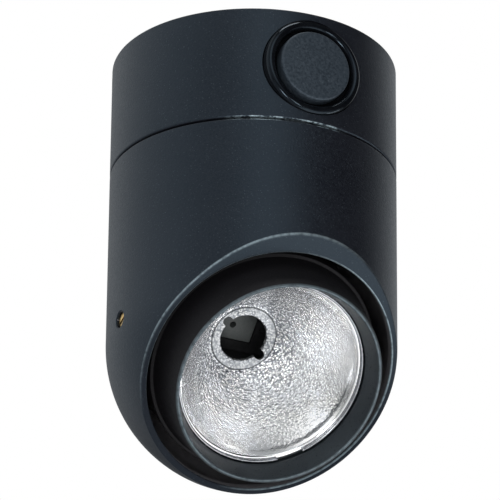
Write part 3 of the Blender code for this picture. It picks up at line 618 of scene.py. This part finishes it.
def base_housing():
    inner, floor, axle_hole = BODY - WALL, BASE_BOTTOM + 4 * MM, 10.6 * MM
    corners = [
        (axle_hole, BASE_BOTTOM, 0.3 * MM), (BODY, BASE_BOTTOM, 1.0 * MM), (BODY, RIM_TOP, 0.9 * MM),
        (inner, RIM_TOP, 0.3 * MM), (inner, floor, 1.0 * MM), (axle_hole, floor, 0.3 * MM),
    ]
    piece = turned("base_shell", soft_outline(corners), 224)
    entry = seated(ENTRY, facing(ENTRY_TURN))
    boss = box("boss", (48.8 * MM, 45.2 * MM, 8.4 * MM), (0, 0, 50.2 * MM))
    combined(piece, settle(boss, seated((0, 0, -25.4 * MM), facing(ENTRY_TURN))), "UNION")
    seat = rod("seat", RING_RADIUS + 0.3 * MM, 20 * MM, (0, 0, RING_SEAT + 9.7 * MM), 128)
    combined(piece, settle(seat, entry))
    bore = rod("bore", 11 * MM, 40 * MM, (0, 0, 50 * MM), 64)
    combined(piece, settle(bore, entry))
    for turn in LOCK_TURNS:
        hole = rod("hole", LOCK_HOLE, 30 * MM, (0, 0, 55 * MM), 32)
        combined(piece, settle(hole, seated((0, 0, LOCK_HEIGHT), facing(turn))))
    smooth(piece, 40)
    placed(piece, POWDER, "base", "base_housing")


def plug():
    entry = seated(ENTRY, facing(ENTRY_TURN))
    crown, crown_steps = 1.95 * MM, 16
    front, bore, ledge = 60.9 * MM, 8.3 * MM, 56.5 * MM
    middle = RING_RADIUS - crown
    outline = [(bore, RING_SEAT), (RING_RADIUS, RING_SEAT)]
    for k in range(crown_steps + 1):
        angle = math.pi * k / crown_steps
        outline.append((middle + crown * math.cos(angle), front - crown + crown * math.sin(angle)))
    outline += [(middle - crown, ledge + 0.4 * MM), (middle - crown - 0.4 * MM, ledge), (bore, ledge)]
    piece = settle(turned("plug_gasket", outline, 160), entry)
    placed(smooth(piece, 50), GLOSS, "base", "plug_ring")
    shank, disc, back, step, face = 8 * MM, 15.4 * MM, 39.5 * MM, 56.8 * MM, 62.2 * MM
    corners = [
        (0, back, 0), (shank - 0.4 * MM, back, 0), (shank, back + 0.5 * MM, 0), (shank, step, 0),
        (disc, step, 0.3 * MM), (disc, face, 1.1 * MM), (0, face, 0),
    ]
    piece = settle(turned("plug_cap", soft_outline(corners), 128), entry)
    placed(smooth(piece, 40), DISC, "base", "plug_disc")


# Lower housing


def capsule_hit(centre, ray, radius):
    """Where a ray from inside meets an upright bar with a domed bottom, about the dome's centre."""
    a = ray.x**2 + ray.y**2
    b = centre.x * ray.x + centre.y * ray.y
    c = centre.x**2 + centre.y**2 - radius**2
    if a > 1e-12:
        point = centre + ray * ((-b + math.sqrt(b * b - a * c)) / a)
        if point.z >= 0:
            return point
    b, c = centre.dot(ray), centre.length_squared - radius**2
    return centre + ray * (-b + math.sqrt(b * b - c))


def slanted_loops(radius, top, distance, planes, sides):
    """Loops on the bar from a level cut at the top to the slanted cut, each in its own plane."""
    hinge = Vector((0, -math.sqrt(2) * distance - top, top))
    reach = math.hypot(hinge.y + distance * math.sqrt(0.5), hinge.z + distance * math.sqrt(0.5))
    loops = []
    for k in range(planes + 1):
        lean = math.pi / 4 * k / planes
        along = Vector((0, math.cos(lean), -math.sin(lean)))
        centre = hinge + along * (-hinge.y + (reach + hinge.y) * k / planes)
        loop = []
        for i in range(sides):
            angle = FULL_TURN * i / sides
            ray = Vector((math.cos(angle), 0, 0)) - along * math.sin(angle)
            loop.append(capsule_hit(centre, ray, radius))
        loops.append(loop)
    return loops


def loops_between(a, corner, b, steps):
    """Loops from after loop a to loop b, on curves that the corner loop pulls towards it."""
    curves = [curve_between(*points, steps)[1:] for points in zip(a, corner, b)]
    return [list(loop) for loop in zip(*curves)]


def level_loop(radius, height, sides):
    turns = [FULL_TURN * i / sides for i in range(sides)]
    return [Vector((radius * math.cos(turn), -radius * math.sin(turn), height)) for turn in turns]


def towards_middle(loop, middle, step):
    """The loop shrunk by a step all round its middle."""
    return [p + (middle - p).normalized() * step for p in loop]


def lower_loops(sides):
    """The housing's skin, from its top ledge down the outside, through the mouth and up the inside."""
    edge, soft_edge, ledge = 0.8 * MM, 0.7 * MM, BODY - 1.9 * MM
    outer_planes, face_steps, inner_planes = 110, 4, 40
    top = LOWER_TOP - DOME.z
    down = AIM @ Vector((0, 0, 1))
    middle = down * FACE
    rim = [level_loop(*place, sides) for place in ((BODY - edge, top), (BODY, top), (BODY, top - edge))]
    loops = [level_loop(ledge, top, sides), rim[0]] + loops_between(*rim, CORNER_STEPS)[:-1]
    skin = slanted_loops(BODY, top - edge, FACE, outer_planes, sides)
    near = slanted_loops(BODY, top - edge, FACE - 0.5 * MM, 1, sides)[-1]
    corner = skin[-1]
    inner = towards_middle(corner, middle, edge)
    loops += skin[:-1] + [near] + loops_between(near, corner, inner, CORNER_STEPS)
    bore = [middle + (p - middle).normalized() * BORE for p in corner]
    soft = towards_middle(bore, middle, -soft_edge)
    for k in range(1, face_steps):
        loops.append([p.lerp(q, k / face_steps) for p, q in zip(inner, soft)])
    loops.append(soft)
    loops += loops_between(soft, bore, [p - down * soft_edge for p in bore], CORNER_STEPS)
    loops.append([p - down * (FACE_THICK - 0.3 * MM) for p in bore])
    loops.append([p - down * FACE_THICK for p in bore])
    loops += slanted_loops(BODY - WALL, top - 7 * MM, FACE - FACE_THICK, inner_planes, sides)[::-1]
    loops.append(level_loop(ledge, top - 6.5 * MM, sides))
    return loops


def skin_of(name, loops, sides):
    """A closed skin over loops about the dome's centre, the last one joined to the first."""
    faces = []
    for a in range(len(loops)):
        b = (a + 1) % len(loops)
        for i in range(sides):
            j = (i + 1) % sides
            faces.append((a * sides + i, a * sides + j, b * sides + j, b * sides + i))
    data = bpy.data.meshes.new(name)
    data.from_pydata([p + DOME for loop in loops for p in loop], [], faces)
    piece = bpy.data.objects.new(name, data)
    bpy.context.scene.collection.objects.link(piece)
    start()
    bpy.context.view_layer.objects.active = piece
    piece.select_set(True)
    bpy.ops.object.mode_set(mode="EDIT")
    bpy.ops.mesh.select_all(action="SELECT")
    bpy.ops.mesh.normals_make_consistent(inside=False)
    bpy.ops.object.mode_set(mode="OBJECT")
    return piece


def pivot_hole_tool():
    """A stepped bit that leaves a shallow seat round each pivot screw."""
    seat, floor, step, tip, end = PIVOT_HOLE + 0.6 * MM, 59.5 * MM, 60.1 * MM, 52 * MM, 64 * MM
    outline = [(0, tip), (PIVOT_HOLE, tip), (PIVOT_HOLE, floor), (seat, step), (seat, end), (0, end)]
    return turned("hole", outline, 48)


def lower_housing():
    sides = 256
    piece = skin_of("lower_shell", lower_loops(sides), sides)
    for side in (-1, 1):
        combined(piece, settle(pivot_hole_tool(), seated(PIVOT, facing(90 * side))))
    smooth(piece, 35)
    placed(piece, POWDER, "lower", "lower_housing")

    def inside(face):
        middle = face.calc_center_median()
        away = middle - DOME
        reach = away.length if away.z < 0 else away.xy.length
        return reach < BODY - 2 * MM and from_aim(middle)[0] < FACE - 1 * MM

    # The housing's inside gets the pale casting, which also stands in for light reaching it through the
    # gap: painted light.
    second_finish(piece, CASTING_PAINTED_LIGHT, inside)


def slotted_screw(name, radius, length, place, turn):
    """A headless screw: its slotted face is at the place and its shank runs back."""
    edge = 0.4 * MM
    tip = [(0, -length, 0), (radius - edge, -length, 0), (radius, edge - length, 0)]
    corners = tip + [(radius, 0, edge), (0, 0, 0)]
    piece = turned(name, soft_outline(corners), 64)
    slot = box("slot", (4 * radius, 0.32 * radius, 0.8 * radius))
    combined(piece, settle(slot, Matrix.Rotation(math.radians(24), 4, "Z")))
    bevelled(piece, 0.08 * MM, 2, 50)
    return smooth(settle(piece, seated(place, turn)), 35)


def side_screws():
    face, length, radius = 58.8 * MM, 16.3 * MM, 3.1 * MM
    for name, side in (("left", -1), ("right", 1)):
        place = PIVOT + Vector((side * face, 0, 0))
        piece = slotted_screw(f"brass_screw_{name}", radius, length, place, facing(90 * side))
        placed(piece, BRASS, "lower", f"pivot_screw_{name}")


# Lamp unit, modelled along the aim from the dome's centre


def lamp_cup():
    # (radius, distance along the aim, rounding) in mm: outside, lip, inner wall, ledge, inside.
    corners = [
        (17, -16, 0.3), (48.3, -16, 0.9), (48.3, 15, 0.5), (46.8, 15, 0.35), (44.05, 36.8, 1.1),
        (42.5, 36.8, 0.4), (39.9, 27.2, 0.2), (40.8, 26.6, 0), (40.8, 24.6, 0), (40.3, 23.3, 0),
        (38.7, 23.3, 0), (38.7, 20.3, 0), (45.5, 14.3, 0), (45.5, -13.5, 0), (17, -13.5, 0),
    ]
    outline = soft_outline([tuple(value * MM for value in corner) for corner in corners])
    piece = settle(turned("lamp_shroud", outline, 224), seated(DOME, AIM))
    for side in (-1, 1):
        hole = rod("hole", PIVOT_HOLE, 20 * MM, (0, 0, side * 48 * MM), 32)
        combined(piece, settle(hole, seated(PIVOT, Matrix.Rotation(math.pi / 2, 3, "Y"))))
    placed(smooth(piece, 30), MATT, "lamp", "lamp_cup")

    def inner_wall(face):
        along, across = from_aim(face.calc_center_median())
        return across < 43.4 * MM and along > 20 * MM

    second_finish(piece, SATIN, inner_wall)


BOWL_BOTTOM, BOWL_TOP, BOWL_HEIGHT = -9.8, 23.4, 34.4  # mm along the aim
NECK_RADIUS, MOUTH_RADIUS = 15.4, 37.4  # mm


def bowl_radius(distance):
    """The parabola's radius in mm at a distance along the aim."""
    rise = (distance - BOWL_BOTTOM) / BOWL_HEIGHT
    return math.sqrt(NECK_RADIUS**2 + (MOUTH_RADIUS**2 - NECK_RADIUS**2) * rise)


def reflector_outline():
    """(radius, distance along the aim) in mm."""
    thick, front_steps, back_steps, back_rise = 1, 24, 8, 31.5
    flange_front = [(40.0, 24.6), (38.3, 24.6), (37.8, 24.4), (37.5, 24.0), (37.35, BOWL_TOP)]
    front, back = [], []
    for k in range(1, front_steps + 1):
        distance = BOWL_TOP + (BOWL_BOTTOM - BOWL_TOP) * (k / front_steps)
        front.append((bowl_radius(distance) - 0.02, distance))
    bead = [(15.2, -10.2), (14.9, -10.45), (14.6, -10.4), (14.3, -10.1), (13.9, -9.95), (13.5, -10.0)]
    rolled_hole = [(11.2, -10.5), (10.8, -10.4), (10.4, -10.35), (10.1, -10.6), (10.0, -11.0)]
    neck_back = [(10.0, -12.0), (10.6, -11.9), (14.7, -11.2), (16.4, -10.8)]
    for k in range(1, back_steps + 1):
        distance = BOWL_BOTTOM + back_rise * k / back_steps
        back.append((bowl_radius(distance) + thick, distance))
    flange_back = [(38.4, 22.6), (38.5, 23.6), (40.0, 23.6)]
    return flange_front + front + bead + rolled_hole + neck_back + back + flange_back


def reflector():
    piece = turned("reflector_bowl", [(x * MM, y * MM) for x, y in reflector_outline()], 192)
    half_width, reach, height = 2.1 * MM, 11.1 * MM, -12 * MM
    for side in (-1, 1):
        notch = box("notch", (2 * reach, 2 * half_width, 8 * MM), (0, 0, height))
        end = rod("end", half_width, 8.2 * MM, (side * reach, 0, height), 32)
        for tool in (notch, end):
            combined(piece, settle(tool, Matrix.Rotation(math.radians(-32), 4, "Z")))
    settle(piece, seated(DOME, AIM))
    placed(smooth(piece, 40), STIPPLE, "lamp", "reflector")


def spring_wire():
    """Open ring of round wire lying on the flange, its ends eased."""
    radius, sides, gap, turn = 0.75 * MM, 16, 16, -58
    centre = Vector((40 * MM - radius, 24.9 * MM + radius))
    outline = []
    for k in range(sides):
        lean = FULL_TURN * k / sides
        outline.append((centre.x + radius * math.cos(lean), centre.y + radius * math.sin(lean)))
    piece = turned("spring_wire", outline, 172, math.radians(360 - gap))
    bevelled(piece, 0.2 * MM, 3, 60)
    middle = Vector((0, 0))
    for vertex in piece.data.vertices:
        middle -= vertex.co.xy
    lean = math.radians(turn) - math.atan2(middle.y, middle.x)
    settle(piece, seated(DOME, AIM) @ Matrix.Rotation(lean, 4, "Z"))
    placed(smooth(piece, 40), SPRING, "lamp", "wire_ring")


def lampholder():
    width, thick, front, ear_level, ear_hole = 20 * MM, 13 * MM, -24.7 * MM, -28.7 * MM, 14 * MM
    piece = box("holder_block", (width, thick, width), (0, 0, front - width / 2))
    ears = box("ears", (36 * MM, thick, 3 * MM), (0, 0, ear_level))
    combined(piece, ears, "UNION")
    bevelled(piece, 0.5 * MM, 3)
    socket = rod("socket", 1.4 * MM, 7 * MM, (0, 0, front - 2.5 * MM), 32)
    combined(piece, socket)
    for side in (-1, 1):
        hole = rod("hole", 1.7 * MM, 8 * MM, (side * ear_hole, 0, ear_level), 32)
        combined(piece, hole)
        slot = box("slot", (2.6 * MM, 4.6 * MM, 8 * MM), (side * 5 * MM, 0, -42 * MM))
        combined(piece, slot)
    settle(piece, seated(DOME, AIM))
    placed(smooth(piece, 35), SHADED_CERAMIC, "lamp", "lampholder")


KEPT = {
    ZINC: (
        "ceiling_plate", "lock_screw_1", "lock_screw_2", "gear_screw_1", "gear_screw_2", "stop_pin",
        "bearing_plate", "bearing_screw_1", "bearing_screw_2", "bearing_screw_3", "pan_tube",
        "pivot_nut_left", "pivot_nut_right", "cradle_screw_1", "cradle_screw_2",
    ),
    # The cradle's black also stands in for shade deep in the hole: painted shade.
    BLACK_STEEL_AND_SHADE: ("holder_cradle", "holder_screw_1", "holder_screw_2"),
    SPRING: ("friction_spring",),
    BRASS: (
        "pan_nut", "earth_screw", "terminal_screw_live", "terminal_screw_neutral", "terminal_screw_earth",
        "contact_left", "contact_right",
    ),
    NYLON: ("terminal_block", "pivot_spacer_left", "pivot_spacer_right"),
    FIBRE: ("friction_washer",),
    GEAR: ("control_gear",),
    BLACK_NYLON: ("plug_nut",),
}


def finish_kept():
    for finish, names in KEPT.items():
        for name in names:
            for slot in NODES[name].material_slots:
                slot.material = finish


# Stage


FLOOR_SIZE = 12
FLOOR_HEIGHT = -1.5


def stage():
    start()
    bpy.ops.mesh.primitive_plane_add(size=FLOOR_SIZE, location=(0, 0, FLOOR_HEIGHT))
    floor = bpy.context.object
    floor.name = "floor"
    pale = Finish("pale_floor", 0.8)
    tone = pale.noise(0.4, 3.0)
    pale.set("Base Color", pale.mix(pale.span(tone, 0.3, 0.7), (0.90, 0.90, 0.90), (0.95, 0.95, 0.95)))
    floor.data.materials.append(pale.done())


def towards(turn, rise):
    """The direction at this angle round from the aim side and this rise above the level."""
    a, e = math.radians(turn), math.radians(rise)
    return Vector((math.sin(a) * math.cos(e), -math.cos(a) * math.cos(e), math.sin(e)))


DIM_ROOM = 0.02
# Each soft glow of the room: turn and rise of its middle, degrees to where it starts to fade and to
# where it ends, and strength.
GLOWS = (
    (-12, 28, 4, 28, 1.15),
    (-45, 25, 5, 50, 0.35),
    (-128, 20, 25, 70, 0.75),
    (130, 25, 8, 46, 0.68),
)


def surroundings():
    """Pale studio: white where the camera looks, soft glows where the body is lit from."""
    world = bpy.data.worlds.new("studio")
    bpy.context.scene.world = world
    world.use_nodes = True
    n = Nodes(world.node_tree)
    n.tree.nodes.clear()
    way = n.node("ShaderNodeTexCoord", {}, {}, "Generated")
    glow = DIM_ROOM
    for turn, rise, core, edge, strength in GLOWS:
        settings = {"operation": "DOT_PRODUCT"}
        near = n.node("ShaderNodeVectorMath", settings, {0: way, 1: towards(turn, rise)}, 1)
        fade, full = math.cos(math.radians(edge)), math.cos(math.radians(core))
        ends = {"Value": near, "From Min": fade, "From Max": full}
        glow = n.node("ShaderNodeMapRange", {"interpolation_type": "SMOOTHSTEP"}, ends) * strength + glow
    lit = n.node("ShaderNodeBackground", {}, {"Color": (0.93, 0.97, 1.0), "Strength": glow})
    seen = n.node("ShaderNodeBackground", {}, {"Color": (1, 1, 1), "Strength": 1.0})
    straight = n.node("ShaderNodeLightPath", {}, {}, "Is Camera Ray")
    both = n.node("ShaderNodeMixShader", {}, {0: straight, 1: lit, 2: seen})
    n.node("ShaderNodeOutputWorld", {}, {"Surface": both}, None)
    bpy.context.scene.view_settings.view_transform = "Standard"


def softbox(name, turn, rise, distance, size, power):
    """An area light facing the body, unseen by the camera."""
    back = towards(turn, rise)
    data = bpy.data.lights.new(name, "AREA")
    data.shape = "RECTANGLE"
    data.size, data.size_y = size
    data.energy = power
    lamp = bpy.data.objects.new(name, data)
    bpy.context.scene.collection.objects.link(lamp)
    lamp.location = DOME + back * distance
    lamp.rotation_mode = "QUATERNION"
    lamp.rotation_quaternion = (-back).to_track_quat("-Z", "Y")
    lamp.visible_camera = False


def lights():
    softbox("key", -34, -24, 1.1, (0.2, 0.3), 2.5)
    softbox("front", -2, -17, 1.1, (0.2, 0.4), 1.3)
    softbox("below", 38, -54, 1.2, (1.1, 1.1), 5.0)
    softbox("above", -8, 76, 0.9, (0.3, 0.3), 1.4)
    softbox("low_right", 80, -28, 1.0, (0.15, 0.4), 1.2)


CAMERA_TURN = -26.5
CAMERA_RISE = -24.9
CAMERA_ROLL = 0.55
CAMERA_DISTANCE = 30 * BODY
CAMERA_LENS = 311.8
CAMERA_AIM_RIGHT = -0.017 * BODY
CAMERA_AIM_UP = 0.742 * BODY


def camera():
    back = towards(CAMERA_TURN, CAMERA_RISE)
    right = towards(CAMERA_TURN + 90, 0)
    target = DOME + right * CAMERA_AIM_RIGHT + Vector((0, 0, CAMERA_AIM_UP))
    data = bpy.data.cameras.new("camera")
    data.sensor_width = 36
    data.lens = CAMERA_LENS
    data.clip_start, data.clip_end = 0.05, 50
    eye = bpy.data.objects.new("camera", data)
    bpy.context.scene.collection.objects.link(eye)
    eye.location = target + back * CAMERA_DISTANCE
    eye.rotation_mode = "QUATERNION"
    level = (-back).to_track_quat("-Z", "Y")
    eye.rotation_quaternion = level @ Matrix.Rotation(math.radians(CAMERA_ROLL), 3, "Z").to_quaternion()
    bpy.context.scene.camera = eye


base_housing()
plug()
lower_housing()
side_screws()
lamp_cup()
reflector()
spring_wire()
lampholder()
finish_kept()
stage()
surroundings()
lights()
camera()
